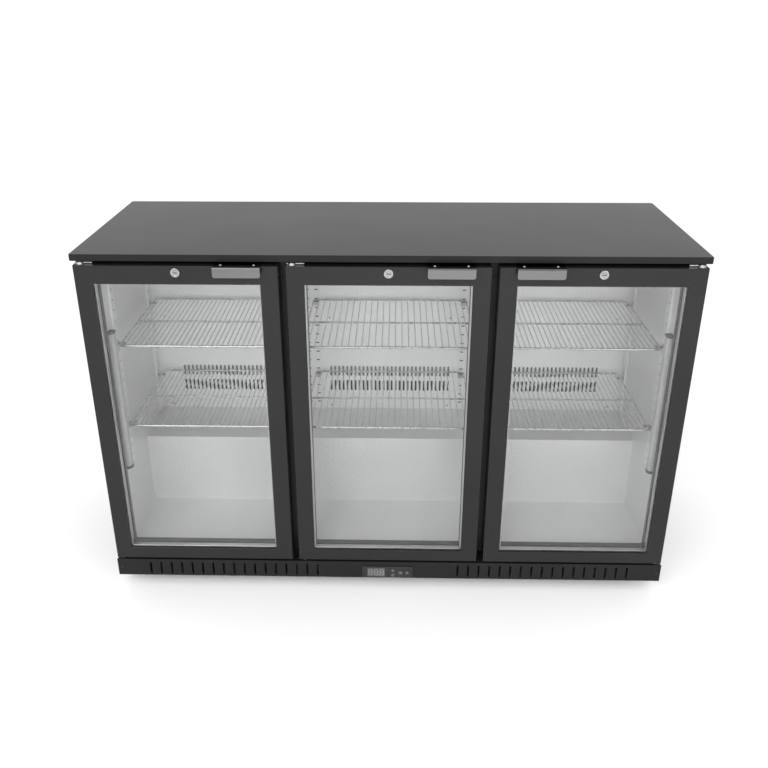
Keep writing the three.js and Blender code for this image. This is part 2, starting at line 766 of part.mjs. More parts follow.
for (const [bayName, bay] of Object.entries(BAYS)) {
  add(`top_hinge_${bayName}`, topHingeGeometry(bay), MATERIALS.silver);
  add(`bottom_hinge_${bayName}`, bottomHingeGeometry(bay), MATERIALS.silver);
  add(`door_frame_${bayName}`, doorFrameGeometry(bay), MATERIALS.doorFrame);
  add(`glass_unit_${bayName}`, glassGeometry(bay), MATERIALS.glass);
  add(`gasket_${bayName}`, gasketGeometry(bay), MATERIALS.seal);
  add(`handle_${bayName}`, handleGeometry(bay), MATERIALS.silver);
  add(`lock_body_${bayName}`, lockBodyGeometry(bay), MATERIALS.chrome);
  add(`lock_plug_${bayName}`, lockPlugGeometry(bay), MATERIALS.chrome);
}

export default cooler;
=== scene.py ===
from math import copysign, cos, pi, radians, sin

import bmesh
import bpy
from mathutils import Matrix, Vector


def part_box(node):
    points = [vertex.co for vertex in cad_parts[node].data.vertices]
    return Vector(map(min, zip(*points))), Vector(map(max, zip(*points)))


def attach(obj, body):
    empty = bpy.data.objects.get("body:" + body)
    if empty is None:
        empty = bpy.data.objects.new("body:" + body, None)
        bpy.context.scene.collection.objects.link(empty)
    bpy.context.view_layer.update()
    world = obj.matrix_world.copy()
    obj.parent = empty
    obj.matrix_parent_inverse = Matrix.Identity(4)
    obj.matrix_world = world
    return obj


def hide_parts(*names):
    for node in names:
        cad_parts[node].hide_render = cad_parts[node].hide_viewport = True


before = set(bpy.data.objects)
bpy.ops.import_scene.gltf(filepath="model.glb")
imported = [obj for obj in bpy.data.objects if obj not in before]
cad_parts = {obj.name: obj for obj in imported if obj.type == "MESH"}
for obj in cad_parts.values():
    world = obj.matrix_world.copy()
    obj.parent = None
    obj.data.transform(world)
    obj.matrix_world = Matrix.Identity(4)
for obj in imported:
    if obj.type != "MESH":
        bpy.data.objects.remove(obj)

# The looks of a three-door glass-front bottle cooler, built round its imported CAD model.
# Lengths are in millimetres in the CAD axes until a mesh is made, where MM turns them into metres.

MM = 0.001
BAYS = ("left", "middle", "right")
SIDES = {"left": -1, "right": 1}
SHELVES = [f"shelf_{bay}_{level}" for bay in BAYS for level in ("lower", "upper")]
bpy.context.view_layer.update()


def linked(name, data):
    """A new object, set in the scene."""
    made = bpy.data.objects.new(name, data)
    bpy.context.scene.collection.objects.link(made)
    return made


def baked(shape, name):
    """The mesh of a bmesh, which is then let go."""
    mesh = bpy.data.meshes.new(name)
    shape.to_mesh(mesh)
    shape.free()
    return mesh


# ---------------- camera

CAMERA = {
    "place": (16.9, -1942.2, 1368.2),
    "turn": 1.303,          # degrees to the left of straight on
    "tilt": 24.646,         # degrees down
    "roll": -0.101,
    "lens": 39.945,
    "shift": (0.0075, -0.0138),
}


def make_camera():
    data = bpy.data.cameras.new("camera")
    data.lens = CAMERA["lens"]
    data.shift_x, data.shift_y = CAMERA["shift"]
    data.clip_end = 60
    camera = linked("camera", data)
    turn = Matrix.Rotation(radians(CAMERA["turn"]), 4, "Z")
    tilt = Matrix.Rotation(radians(90 - CAMERA["tilt"]), 4, "X")
    roll = Matrix.Rotation(radians(CAMERA["roll"]), 4, "Z")
    place = Matrix.Translation(Vector(CAMERA["place"]) * MM)
    camera.matrix_world = place @ turn @ tilt @ roll
    bpy.context.scene.camera = camera


make_camera()


# ---------------- materials

class Finish:
    """A procedural finish: even values sit on the shader's sockets, and patterns drive the rest."""

    def __init__(self, name, **sockets):
        self.material = bpy.data.materials.new(name)
        self.material.use_nodes = True
        self.tree = self.material.node_tree
        self.shader = self.tree.nodes["Principled BSDF"]
        self.feed(self.shader, **sockets)
        self.place = self.add("TexCoord").outputs["Object"]
        self.normal = None

    def feed(self, node, **inputs):
        """Sets inputs of a node. An input is a value, or the output of another node."""
        for name, value in inputs.items():
            socket = node.inputs[name.replace("_", " ")]
            if isinstance(value, bpy.types.NodeSocket):
                self.tree.links.new(value, socket)
            else:
                socket.default_value = value
        return node

    def add(self, kind, **inputs):
        return self.feed(self.tree.nodes.new("ShaderNode" + kind), **inputs)

    def noise(self, scale, detail=3.0, stretch=(1, 1, 1)):
        place = self.add("Mapping", Vector=self.place, Scale=stretch).outputs["Vector"]
        return self.add("TexNoise", Vector=place, Scale=scale, Detail=detail).outputs["Fac"]

    def cells(self, scale, feature="SMOOTH_F1", output="Distance"):
        node = self.add("TexVoronoi", Vector=self.place, Scale=scale)
        node.feature = feature
        return node.outputs[output]

    def colours(self, pattern, first, second, low=0.3, high=0.7):
        """Runs from the first colour to the second. A plain number is a grey."""
        ramp = self.add("ValToRGB", Fac=pattern)
        for element, position, colour in zip(ramp.color_ramp.elements, (low, high), (first, second)):
            element.position = position
            element.color = (*(colour if isinstance(colour, tuple) else [colour] * 3), 1)
        self.feed(self.shader, Base_Color=ramp.outputs["Color"])

    def rough(self, pattern, low, high):
        ramp = self.add("MapRange", Value=pattern, From_Min=0.3, From_Max=0.7, To_Min=low, To_Max=high)
        self.feed(self.shader, Roughness=ramp.outputs["Result"])

    def bump(self, pattern, depth, strength=1.0):
        """Raises the surface by depth millimetres where the pattern is 1."""
        node = self.add("Bump", Height=pattern, Distance=depth * MM, Strength=strength)
        if self.normal:
            self.feed(node, Normal=self.normal)
        self.normal = node.outputs["Normal"]
        self.feed(self.shader, Normal=self.normal)


def coat(name, tones, gloss, *bumps, **sockets):
    """A finish from its patterns for colour, roughness and layers of bump: methods of Finish and values."""
    finish = Finish(name, **sockets)

    def pattern(kind, *values):
        return getattr(finish, kind)(*values)

    finish.colours(pattern(*tones[0]), *tones[1:])
    finish.rough(pattern(*gloss[0]), *gloss[1:])
    for layer, *depth in bumps:
        finish.bump(pattern(*layer), *depth)
    return finish.material


def painted(name, dark, light, roughness, peel=0.03, shine=0.35):
    """Powder coat or paint: faint cloudiness, slow changes of gloss and a fine orange peel."""
    return coat(name, (("noise", 5, 4), dark, light), (("noise", 6, 3), roughness - 0.012, roughness + 0.012),
                (("noise", 650, 2), peel), Specular_IOR_Level=shine)


def embossed(name, dark, light):
    """Stucco aluminium: rounded pebbles a few millimetres across, and faint grey clouds."""
    return coat(name, (("noise", 6, 4), dark, light), (("noise", 40, 4), 0.36, 0.46),
                (("cells", 190), 1.1, 0.9), (("noise", 900, 2), 0.03), Metallic=0.35)


def brushed(name, dark, light, roughness, along=(2, 60, 60), metallic=1.0):
    """Metal with fine lines along the axis that the pattern is least stretched on."""
    lines = ("noise", 12, 8, along)
    return coat(name, (lines, dark, light), (lines, roughness - 0.06, roughness + 0.08), (lines, 0.02, 0.6),
                Metallic=metallic)


def plated(name, dark, light, roughness):
    """Bright plating with small dull patches."""
    patches = ("noise", 70, 6)
    return coat(name, (patches, dark, light), (patches, roughness - 0.04, roughness + 0.08),
                (("noise", 500, 3), 0.015), Metallic=1.0)


def moulded(name, dark, light, roughness):
    """Moulded plastic with a spark-eroded grain."""
    return coat(name, (("noise", 20, 3), dark, light), (("noise", 25, 4), roughness - 0.03, roughness + 0.05),
                (("cells", 1400), 0.025, 0.7))


# Zinc with flat crystals of slightly different grey.
SPANGLE = ("cells", 110, "F1", "Color")
GALVANISED = coat("galvanised_steel", (SPANGLE, 0.38, 0.48, 0.1, 0.9), (SPANGLE, 0.38, 0.5),
                  (("noise", 300, 3), 0.03), Metallic=0.85)
RUBBER = coat("seal_rubber", (("noise", 50, 5), 0.016, 0.028), (("noise", 30, 4), 0.55, 0.7),
              (("noise", 1200, 2), 0.03))
# A frosted lamp cover with fine prisms along its length.
DIFFUSER = coat("lamp_diffuser", (("noise", 12, 3), 0.48, 0.55), (("noise", 60, 3), 0.35, 0.45),
                (("noise", 300, 1, (4, 4, 0.05)), 0.05), Subsurface_Weight=0.2,
                Subsurface_Radius=(0.004, 0.004, 0.004))
FOAM = coat("insulation_foam", (("noise", 30, 5), (0.62, 0.5, 0.24), (0.76, 0.65, 0.36)),
            (("noise", 80, 3), 0.85, 0.95), (("cells", 900), 0.3, 0.8))


def glass_finish():
    """A clear pane: what is behind shows straight through, and only its outer faces mirror the room."""
    finish = Finish("clear_glass")
    finish.tree.nodes.remove(finish.shader)
    smears = finish.add("TexNoise", Vector=finish.place, Scale=7, Detail=6)
    haze = finish.add("MapRange", Value=smears.outputs["Fac"], To_Min=0.01, To_Max=0.05)
    gloss = finish.add("BsdfGlossy", Roughness=haze.outputs["Result"])
    clear = finish.add("BsdfTransparent", Color=(0.974, 0.977, 0.975, 1))
    edge = finish.add("Fresnel", IOR=1.4)
    side = finish.add("NewGeometry")
    share = finish.add("MapRange", Value=side.outputs["Backfacing"], From_Min=1, From_Max=0,
                       To_Max=edge.outputs["Fac"])
    mix = finish.add("MixShader", Fac=share.outputs["Result"])
    finish.tree.links.new(clear.outputs["BSDF"], mix.inputs[1])
    finish.tree.links.new(gloss.outputs["BSDF"], mix.inputs[2])
    finish.feed(finish.tree.nodes["Material Output"], Surface=mix.outputs["Shader"])
    return finish.material


# Each paint's usual slot, and its material.
PAINT = {
    "worktop": ("worktop", painted("worktop_coat", 0.013, 0.015, 0.30, 0.03, 0.15)),
    "casing": ("casing", painted("casing_coat", 0.013, 0.018, 0.42, 0.05)),
    "door": ("door_frame", painted("door_gloss", 0.011, 0.014, 0.22, 0.012, 0.27)),
    "kick": ("casing", painted("kick_coat", 0.008, 0.011, 0.34, 0.04, 0.2)),
    "stucco": ("stucco", embossed("stucco_aluminium", 0.76, 0.82)),
    # A lighter copy of the liner's stucco: painted light that makes the rear duct panel brighter than the
    # liner.
    "stucco_painted_lighter": ("stucco", embossed("stucco_painted_lighter", 0.90, 0.95)),
    "aluminium": ("silver", brushed("satin_aluminium", 0.145, 0.18, 0.16)),
    "spacer": ("silver", brushed("spacer_bar", 0.50, 0.60, 0.34)),
    "track": ("silver", brushed("shelf_track", 0.84, 0.91, 0.40, (60, 60, 2), 0.35)),
    "hinge": ("silver", plated("hinge_zinc", 0.55, 0.66, 0.26)),
    "chrome": ("chrome", plated("lock_chrome", 0.34, 0.46, 0.24)),
    "wire": ("wire", plated("shelf_wire", 0.58, 0.68, 0.26)),
    "screw": ("chrome", plated("screw_steel", 0.45, 0.58, 0.30)),
    "dark_screw": ("chrome", plated("dark_screw", 0.03, 0.06, 0.40)),
    "seal": ("seal", RUBBER),
    "lamp": ("lamp", DIFFUSER),
    "plastic": ("plastic", moulded("black_plastic", 0.009, 0.013, 0.36)),
    "key": ("key", moulded("key_plastic", 0.03, 0.045, 0.45)),
    "fan": ("fan", moulded("fan_plastic", 0.02, 0.03, 0.5)),
    "mark": ("plastic", moulded("panel_mark", 0.17, 0.22, 0.5)),
    "window": ("plastic", moulded("display_window", 0.06, 0.08, 0.3)),
    "bead": ("seal", moulded("grey_bead", 0.10, 0.13, 0.4)),
    "nylon": ("plastic", moulded("nylon", 0.55, 0.62, 0.4)),
    "galvanised": ("galvanised", GALVANISED),
    "fins": ("fins", brushed("fin_aluminium", 0.45, 0.62, 0.38, (60, 2, 60))),
    "copper": ("fins", plated("copper_pipe", (0.52, 0.22, 0.12), (0.68, 0.34, 0.2), 0.3)),
    "enamel": ("enamel", painted("compressor_enamel", 0.012, 0.02, 0.28, 0.06)),
    "glass": ("glass", glass_finish()),
}


# ---------------- shapes

PLANES = {
    "xy": lambda a, b, h: (a, b, h),
    "xz": lambda a, b, h: (a, h, b),
    "yz": lambda a, b, h: (h, a, b),
}
BOX_FACES = ((0, 1, 3, 2), (4, 6, 7, 5), (0, 4, 5, 1), (2, 3, 7, 6), (0, 2, 6, 4), (1, 5, 7, 3))


def spans(node):
    """The (low, high) limits of a CAD node along X, Y and Z, in millimetres."""
    low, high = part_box(node)
    return [(low[i] / MM, high[i] / MM) for i in range(3)]


def arc(centre, radius, start, end, steps=6):
    """Points on an arc in a plane, with the angles in degrees."""
    points = []
    for step in range(steps + 1):
        angle = radians(start + (end - start) * step / steps)
        points.append((centre[0] + radius * cos(angle), centre[1] + radius * sin(angle)))
    return points


def rounded(a, b, radius, steps=5):
    """A rectangle between the limits a and b with round corners."""
    (a0, a1), (b0, b1) = a, b
    return [
        *arc((a1 - radius, b0 + radius), radius, -90, 0, steps),
        *arc((a1 - radius, b1 - radius), radius, 0, 90, steps),
        *arc((a0 + radius, b1 - radius), radius, 90, 180, steps),
        *arc((a0 + radius, b0 + radius), radius, 180, 270, steps),
    ]


def around(centre, half):
    return (centre - half, centre + half)


def inset(span, amount):
    return (span[0] + amount, span[1] - amount)


def mid(span):
    return sum(span) / 2


def spread(low, high, count):
    """Evenly spaced positions from low to high."""
    return [low + k * (high - low) / (count - 1) for k in range(count)]


def bent(points, radius, steps=5):
    """A path through the points, with each inner corner turned into a soft bend."""
    points = [Vector(p) for p in points]
    path = [points[0]]
    for before, corner, after in zip(points, points[1:], points[2:]):
        start = corner + (before - corner).normalized() * radius
        end = corner + (after - corner).normalized() * radius
        for step in range(steps + 1):
            t = step / steps
            path.append(start * (1 - t) ** 2 + corner * 2 * t * (1 - t) + end * t ** 2)
    return [*path, points[-1]]


class Shape:
    """Closed solids, in millimetres, that become one piece."""

    def __init__(self):
        self.bm = bmesh.new()

    def solid(self, points, faces):
        verts = [self.bm.verts.new(p) for p in points]
        for face in faces:
            self.bm.faces.new([verts[i] for i in face])
        return self

    def box(self, x, y, z):
        return self.solid([(a, b, c) for a in x for b in y for c in z], BOX_FACES)

    def prism(self, outline, low, high, plane="xy"):
        """A flat outline grown from low to high along the plane's third axis."""
        place = PLANES[plane]
        count = len(outline)
        points = [place(a, b, h) for h in (low, high) for a, b in outline]
        sides = [(i, (i + 1) % count, count + (i + 1) % count, count + i) for i in range(count)]
        return self.solid(points, [tuple(range(count)), tuple(range(count, 2 * count)), *sides])

    def loft(self, rings, closed=False):
        """Joins rings of equal length, and closes the two ends."""
        count = len(rings[0])
        faces = []
        for first in range(len(rings) if closed else len(rings) - 1):
            second = (first + 1) % len(rings)
            for i in range(count):
                j = (i + 1) % count
                faces.append((first * count + i, first * count + j, second * count + j, second * count + i))
        if not closed:
            faces += [tuple(range(count)), tuple(range((len(rings) - 1) * count, len(rings) * count))]
        return self.solid([p for ring in rings for p in ring], faces)

    def tube(self, path, radius, sides=12, closed=False):
        path = [Vector(p) for p in path]
        count = len(path)
        rings = []
        side = None
        for i, point in enumerate(path):
            before = path[i - 1] if i or closed else point
            after = path[(i + 1) % count] if i < count - 1 or closed else point
            ahead = (after - before).normalized()
            side = ahead.orthogonal() if side is None else side - ahead * side.dot(ahead)
            side.normalize()
            other = ahead.cross(side)
            turns = [2 * pi * k / sides for k in range(sides)]
            rings.append([point + (side * cos(t) + other * sin(t)) * radius for t in turns])
        return self.loft(rings, closed)

    def lathe(self, profile, centre, axis="z", sides=32):
        """Turns (radius, height) points about an axis. An open profile starts and ends on the axis."""
        turn = {"x": (1, 2, 0), "y": (2, 0, 1), "z": (0, 1, 2)}[axis]
        rows = []
        for radius, height in profile:
            row = []
            for k in range(sides if radius > 1e-6 else 1):
                angle = 2 * pi * k / sides
                local = (radius * cos(angle), radius * sin(angle), height)
                point = [0, 0, 0]
                for source, target in enumerate(turn):
                    point[target] = local[source] + centre[target]
                row.append(self.bm.verts.new(point))
            rows.append(row)
        closed = profile[0][0] > 1e-6
        for first, second in zip(rows, rows[1:] + rows[:1] if closed else rows[1:]):
            for k in range(sides):
                corners = [first[k % len(first)], first[(k + 1) % len(first)],
                           second[(k + 1) % len(second)], second[k % len(second)]]
                face = list(dict.fromkeys(corners))
                if len(face) > 2:
                    self.bm.faces.new(face)
        return self

    def ring(self, centre, inner, outer, low, high, axis="z", sides=28):
        """A round band with square edges. With an inner radius of 0 it is a solid rod."""
        return self.lathe([(inner, low), (outer, low), (outer, high), (inner, high)], centre, axis, sides)

    def disc(self, centre, radius, low, high, axis="z", edge=0.3, sides=32):
        """A round slab with broken edges, from low to high along its axis."""
        profile = [(0, low), (radius - edge, low), (radius, low + edge), (radius, high - edge),
                   (radius - edge, high), (0, high)]
        return self.lathe(profile, centre, axis, sides)

    def screw(self, centre, radius, axis="y", out=-1, proud=None):
        """A pan head that stands on a face, with a round driver socket."""
        high = proud or radius * 0.5
        profile = ((0, 0), (1, 0), (1, 0.35), (0.85, 0.8), (0.5, 1), (0.38, 1), (0.34, 0.45), (0, 0.35))
        return self.lathe([(r * radius, out * h * high) for r, h in profile], centre, axis, 20)

    def plate(self, outer, holes, low, high, plane="xy", edge=0.3):
        """A sheet with any number of holes and softly rounded rims."""
        curve = bpy.data.curves.new("plate", "CURVE")
        curve.dimensions = "2D"
        curve.fill_mode = "BOTH"
        curve.extrude = (high - low) / 2 - edge
        curve.bevel_depth = edge
        curve.bevel_resolution = 1
        curve.offset = -edge
        for outline in [outer, *holes]:
            spline = curve.splines.new("POLY")
            spline.points.add(len(outline) - 1)
            for point, (a, b) in zip(spline.points, outline):
                point.co = (a, b, 0, 1)
            spline.use_cyclic_u = True
        holder = bpy.data.objects.new("plate", curve)
        mesh = bpy.data.meshes.new_from_object(holder)
        place = PLANES[plane]
        middle = (low + high) / 2
        for vert in mesh.vertices:
            a, b, h = vert.co
            vert.co = place(a, b, h + middle)
        piece = bmesh.new()
        piece.from_mesh(mesh)
        bmesh.ops.remove_doubles(piece, verts=piece.verts, dist=0.001)
        bmesh.ops.dissolve_degenerate(piece, dist=0.001, edges=piece.edges)
        piece.to_mesh(mesh)
        piece.free()
        self.bm.from_mesh(mesh)
        bpy.data.objects.remove(holder)
        bpy.data.curves.remove(curve)
        bpy.data.meshes.remove(mesh)
        return self

    def slab(self, a, b, depth, corner, holes=(), plane="xz", edge=0.3, steps=5):
        """A plate with round corners between the limits a and b."""
        return self.plate(rounded(a, b, corner, steps), holes, *depth, plane, edge)

    def rails(self, x, z, profile, widths=(1, 1, 1)):
        """A mitred frame round a rectangle in X and Z. The profile is (inset, y) from the outer edge.
        Its inner part moves with the widths of the stiles, the top rail and the bottom rail."""
        stile, top, bottom = widths

        def moved(distance, width):
            return distance + (width - stile) * (distance > stile / 2)

        corners = [(x[0], 1, z[0], 1, bottom), (x[1], -1, z[0], 1, bottom),
                   (x[1], -1, z[1], -1, top), (x[0], 1, z[1], -1, top)]
        rings = [[(cx + sx * d, y, cz + sz * moved(d, rail)) for d, y in profile]
                 for cx, sx, cz, sz, rail in corners]
        return self.loft(rings, closed=True)

    def node(self, name):
        """A copy of a CAD node's solid, with the flat faces made whole again."""
        copy = bmesh.new()
        copy.from_mesh(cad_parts[name].data)
        bmesh.ops.transform(copy, matrix=Matrix.Scale(1 / MM, 4), verts=copy.verts)
        bmesh.ops.remove_doubles(copy, verts=copy.verts, dist=0.01)
        bmesh.ops.dissolve_limit(copy, angle_limit=radians(1), verts=copy.verts, edges=copy.edges)
        mesh = baked(copy, "copy")
        self.bm.from_mesh(mesh)
        bpy.data.meshes.remove(mesh)
        return self

    def loose(self):
        """This shape as an object that is only used for cutting."""
        bmesh.ops.recalc_face_normals(self.bm, faces=self.bm.faces)
        return linked("loose", baked(self.bm, "loose"))

    def cut(self, tool):
        """Takes another shape's solids out of this one."""
        whole, cutter = self.loose(), tool.loose()
        modifier = whole.modifiers.new("cut", "BOOLEAN")
        modifier.object = cutter
        modifier.solver = "EXACT"
        graph = bpy.context.evaluated_depsgraph_get()
        result = bpy.data.meshes.new_from_object(whole.evaluated_get(graph))
        self.bm = bmesh.new()
        self.bm.from_mesh(result)
        for holder in (whole, cutter):
            mesh = holder.data
            bpy.data.objects.remove(holder)
            bpy.data.meshes.remove(mesh)
        bpy.data.meshes.remove(result)
        return self

    def piece(self, name, paint, replaces=(), body="cabinet", slot=None, bevel=0.0, segments=2, sharp=40):
        """Makes the object, in metres, and sets it on its body."""
        usual_slot, material = PAINT[paint]
        slot = slot or usual_slot
        bmesh.ops.recalc_face_normals(self.bm, faces=self.bm.faces)
        bmesh.ops.transform(self.bm, matrix=Matrix.Scale(MM, 4), verts=self.bm.verts)
        mesh = baked(self.bm, name)
        mesh.polygons.foreach_set("use_smooth", [True] * len(mesh.polygons))
        mesh.set_sharp_from_angle(angle=radians(sharp))
        mesh.materials.append(material)
        piece = linked(name, mesh)
        if bevel:
            soften = piece.modifiers.new("soft_edges", "BEVEL")
            soften.width = bevel * MM
            soften.segments = segments
            soften.limit_method = "ANGLE"
            soften.angle_limit = radians(sharp)
            soften.harden_normals = True
        even = piece.modifiers.new("flat_faces", "WEIGHTED_NORMAL")
        even.keep_sharp = True
        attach(piece, body)
        if replaces:
            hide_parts(*replaces)


# ---------------- cabinet

def make_worktop():
    x, y, z = spans("worktop")
    board = Shape().slab(x, y, z, 4, plane="xy", edge=1.4, steps=6)
    pockets = Shape()
    for bay in BAYS:
        middle = mid(spans(f"lock_body_{bay}")[0])
        pockets.box(around(middle, 20), (-197, -187), (z[0] - 1, z[0] + 8))
    board.cut(pockets).piece("worktop_board", "worktop", ["worktop"])


def screw_grid(name, paint, columns, rows, y, radius, **head):
    """Screws on an upright face, at every crossing of columns and rows."""
    screws = Shape()
    for row in rows:
        for column in columns:
            screws.screw((column, y, row), radius, **head)
    screws.piece(name, paint)


PANEL = {"gap": 0.05, "skin": 0.9, "back_bottom": 266, "columns": (-640, -320, 0, 320, 640)}


def make_casing():
    """The outer steel body with its folded panels: two sides and a back."""
    x, y, z = spans("cabinet_shell")
    Shape().node("cabinet_shell").piece("casing_body", "casing", ["cabinet_shell"], bevel=0.5)
    gap, skin = PANEL["gap"], PANEL["skin"]
    for side, sign in SIDES.items():
        face = sorted((sign * (x[1] + gap), sign * (x[1] + skin)))
        Shape().slab((y[0] + 0.6, y[1] - 6), (z[0] + 0.6, z[1] - 6), face, 1.5, plane="yz", edge=0.35).piece(
            f"side_panel_{side}", "casing")
    bottom = PANEL["back_bottom"]
    back = Shape().slab(inset(x, 6), (bottom, z[1] - 1), (y[1] + gap, y[1] + skin), 2, edge=0.35)
    back.piece("back_panel", "casing")
    rows = (bottom + 10, 545, z[1] - 11)
    screw_grid("back_panel_screws", "dark_screw", PANEL["columns"], rows, y[1] + skin, 3.4, out=1, proud=1.6)


def make_liner():
    Shape().node("inner_liner").piece("liner", "stucco", ["inner_liner"], bevel=1.2, segments=3)
    for side in SIDES:
        x, y, z = spans(f"mullion_{side}")
        Shape().box(x, y, z).piece(
            f"centre_post_{side}", "casing", [f"mullion_{side}"], bevel=1.5, segments=3)
    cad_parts["insulation_foam"].data.materials.clear()
    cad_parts["insulation_foam"].data.materials.append(FOAM)


VENT = {"reach": 159.5, "half": 2.5, "count": 30, "rows": ((346, 377), (390, 420)), "centres": (-401, 0, 401)}


def make_duct_cover():
    """The rear air duct: two rows of upright slots in each bay."""
    x, y, z = spans("duct_cover")
    slots = [rounded(around(middle, VENT["half"]), row, 2.4, 3) for centre in VENT["centres"]
             for row in VENT["rows"] for middle in spread(*around(centre, VENT["reach"]), VENT["count"])]
    # The panel takes the lighter stucco copy, whose extra brightness is painted light on the rear wall.
    Shape().slab(x, z, y, 1, slots).piece("duct_panel", "stucco_painted_lighter", ["duct_cover"], sharp=50)
    columns = (-600, -250, -160, 160, 250, 600)
    screw_grid("duct_screws", "screw", columns, (302, 560, 780), y[0], 3, proud=1.2)


def make_air_guides():
    """What shows behind the slots: a black fan cowl at the lower row, the drip tray at the upper."""
    cowl, tray = Shape(), Shape()
    for centre in VENT["centres"]:
        cowl.slab(around(centre, 172), (338, 384), (178, 180), 4, edge=0.6)
        tray.slab(around(centre, 172), (386, 428), (184, 186), 4, edge=0.6)
        tray.box(around(centre, 170), (185, 214), (387, 389))
    cowl.piece("fan_cowl", "fan")
    tray.piece("drip_tray", "galvanised")


TRACK = {"wall": 1.2, "pitch": 25, "slot": (9, 3.2), "column": 11.7}


def track_box(shape, rear, across, deep, height):
    """Adds a box to a track that stands on the rear wall or on a side wall."""
    return shape.box(*((across, deep) if rear else (deep, across)), height)


def make_tracks():
    """Slotted shelf tracks: a channel whose web faces the room, with a dark strip of painted shade behind the
    slots.
    """
    wall = TRACK["wall"]
    wide, high = TRACK["slot"]
    for name in [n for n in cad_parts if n.startswith("pilaster_")]:
        x, y, z = spans(name)
        rear = name.startswith("pilaster_rear")
        across, deep, plane = (x, y, "xz") if rear else (y, x, "yz")
        near, far = deep if rear or x[0] > 0 else deep[::-1]
        away = copysign(1, far - near)
        inner = near + away * wall
        middle = mid(across)
        columns = (middle - TRACK["column"], middle + TRACK["column"]) if rear else (middle,)
        slots = []
        level = z[0] + 15
        while level < z[1] - 10:
            slots += [rounded(around(c, wide / 2), around(level, high / 2), 1.2, 3) for c in columns]
            level += TRACK["pitch"]
        track = Shape().slab(across, z, sorted((near, inner)), 0.6, slots, plane, 0.25, 2)
        for side in ((across[0], across[0] + wall), (across[1] - wall, across[1])):
            track_box(track, rear, side, sorted((inner, far)), z)
        track.piece(name + "_track", "track", [name])
        # A thin dark sheet just behind the web: painted shade, so the slots look dark where the channel's
        # depth would shade them.
        strip = sorted((inner + away * 0.4, inner + away * 0.8))
        track_box(Shape(), rear, inset(across, 2), strip, inset(z, 3)).piece(
            name + "_painted_shade_strip", "seal", bevel=0.1)


LAMP = {"cap": 7, "fold": 7}


def make_lamps():
    """Upright light bars: an aluminium tray, a frosted cover and two end caps."""
    cap, fold = LAMP["cap"], LAMP["fold"]
    for side, sign in SIDES.items():
        x, y, z = spans(f"lamp_{side}")
        wall, front = x if sign < 0 else x[::-1]

        def section(pull):
            """The cover's five corners, pulled in a little."""
            face, (low, high) = front + sign * pull, inset(y, pull)
            return [(wall, low), (front + sign * (fold - pull), low), (face, y[0] + fold), (face, high),
                    (wall, high)]

        Shape().prism(section(0.8), z[0] + cap, z[1] - cap).piece(
            f"lamp_cover_{side}", "lamp", [f"lamp_{side}"], bevel=1.2, segments=3)
        ends = Shape().prism(section(0), z[0], z[0] + cap).prism(section(0), z[1] - cap, z[1])
        ends.piece(f"lamp_caps_{side}", "bead", slot="plastic", bevel=0.8)
        tray = Shape()
        for deep in ((y[1] + 0.2, y[1] + 2.2), (y[0] - 2.2, y[0] - 0.2)):
            tray.box(sorted((wall, wall - sign * 2)), deep, inset(z, 4))
        tray.piece(f"lamp_tray_{side}", "track", bevel=0.3)


WIRE = {"radius": 1.25, "rod": 2.4, "front_rod": 3.0}
WIRES = {"left": 35, "middle": 27, "right": 35}


def make_shelf(name):
    """A wire shelf: a bent outer rod, a cross rod under the middle and wires on top."""
    x, y, z = spans(name)
    level = mid(z)
    rod, wire = WIRE["rod"], WIRE["radius"]
    left, right = x[0] + rod, x[1] - rod
    front, back = y[0] + WIRE["front_rod"], y[1] - rod
    grid = Shape()
    loop = [(a, b, level) for a, b in rounded((left, right), (front, back), 9, 5)]
    grid.tube(loop, rod, 14, closed=True)
    grid.tube([(left + 6, front, level), (right - 6, front, level)], WIRE["front_rod"], 16)
    row = (front + back) / 2
    grid.tube([(left, row, level - 1.4), (right, row, level - 1.4)], rod, 12)
    for place in spread(left, right, WIRES[name.split("_")[1]])[1:-1]:
        nose = (place, front - 0.6, level + 1.0)
        grid.tube([nose, (place, front + 7, level + 2.0), (place, back, level + 2.0)], wire, 10)
    grid.piece(name + "_grid", "wire", [name], sharp=50)


CLIP = {"wall": 626.3, "rows": (-130, 145), "post": -159.7, "half": 7, "thick": 1.5, "drop": 13}


def make_shelf_clips():
    """Hooks that carry the shelf corners, on the tracks and on the centre posts."""
    clips = Shape()
    half, post = CLIP["half"], CLIP["post"]
    for name in SHELVES:
        x, y, z = spans(name)
        under = z[0] - 1.6
        flat, drop = (under - CLIP["thick"], under), under - CLIP["drop"]
        for end, sign in ((x[0], 1), (x[1], -1)):
            reach = end + sign * 9
            wide = around(reach, half)
            if abs(end) > 600:
                wall = copysign(CLIP["wall"], end)
                for row in CLIP["rows"]:
                    clips.box(sorted((wall, reach)), around(row, half), flat)
                    clips.box(sorted((wall, wall + sign * 1.5)), around(row, half), (drop, under))
            else:
                clips.box(wide, (y[1] - 9, y[1] + 0.4), flat)
                clips.box(wide, (y[1] - 1.1, y[1] + 0.4), (drop, under))
                clips.box(wide, (post, -148), flat)
                clips.box(wide, (post, post + CLIP["thick"]), (drop, z[1] + 3))
    clips.piece("shelf_clips", "hinge", bevel=0.3)


# ---------------- cooling system

def serpentine(shape, ends, first, pitch, radius, sides, place):
    """Seven level pipe runs between two ends, joined by half-round bends at alternate ends."""
    half, runs = pitch / 2, 7
    for k in range(runs):
        row = first + pitch * k
        shape.tube([place(ends[0], row), place(ends[1], row)], radius, sides)
        if k < runs - 1:
            end, out = (ends[1], 1) if k % 2 == 0 else (ends[0], -1)
            turns = [pi * step / 10 for step in range(11)]
            bend = [place(end + out * half * sin(t), row + half - half * cos(t)) for t in turns]
            shape.tube(bend, radius, sides)


COIL = {"box": ((-330, -60), (180, 216), (470, 670)), "fins": 45, "pipe_y": 198}
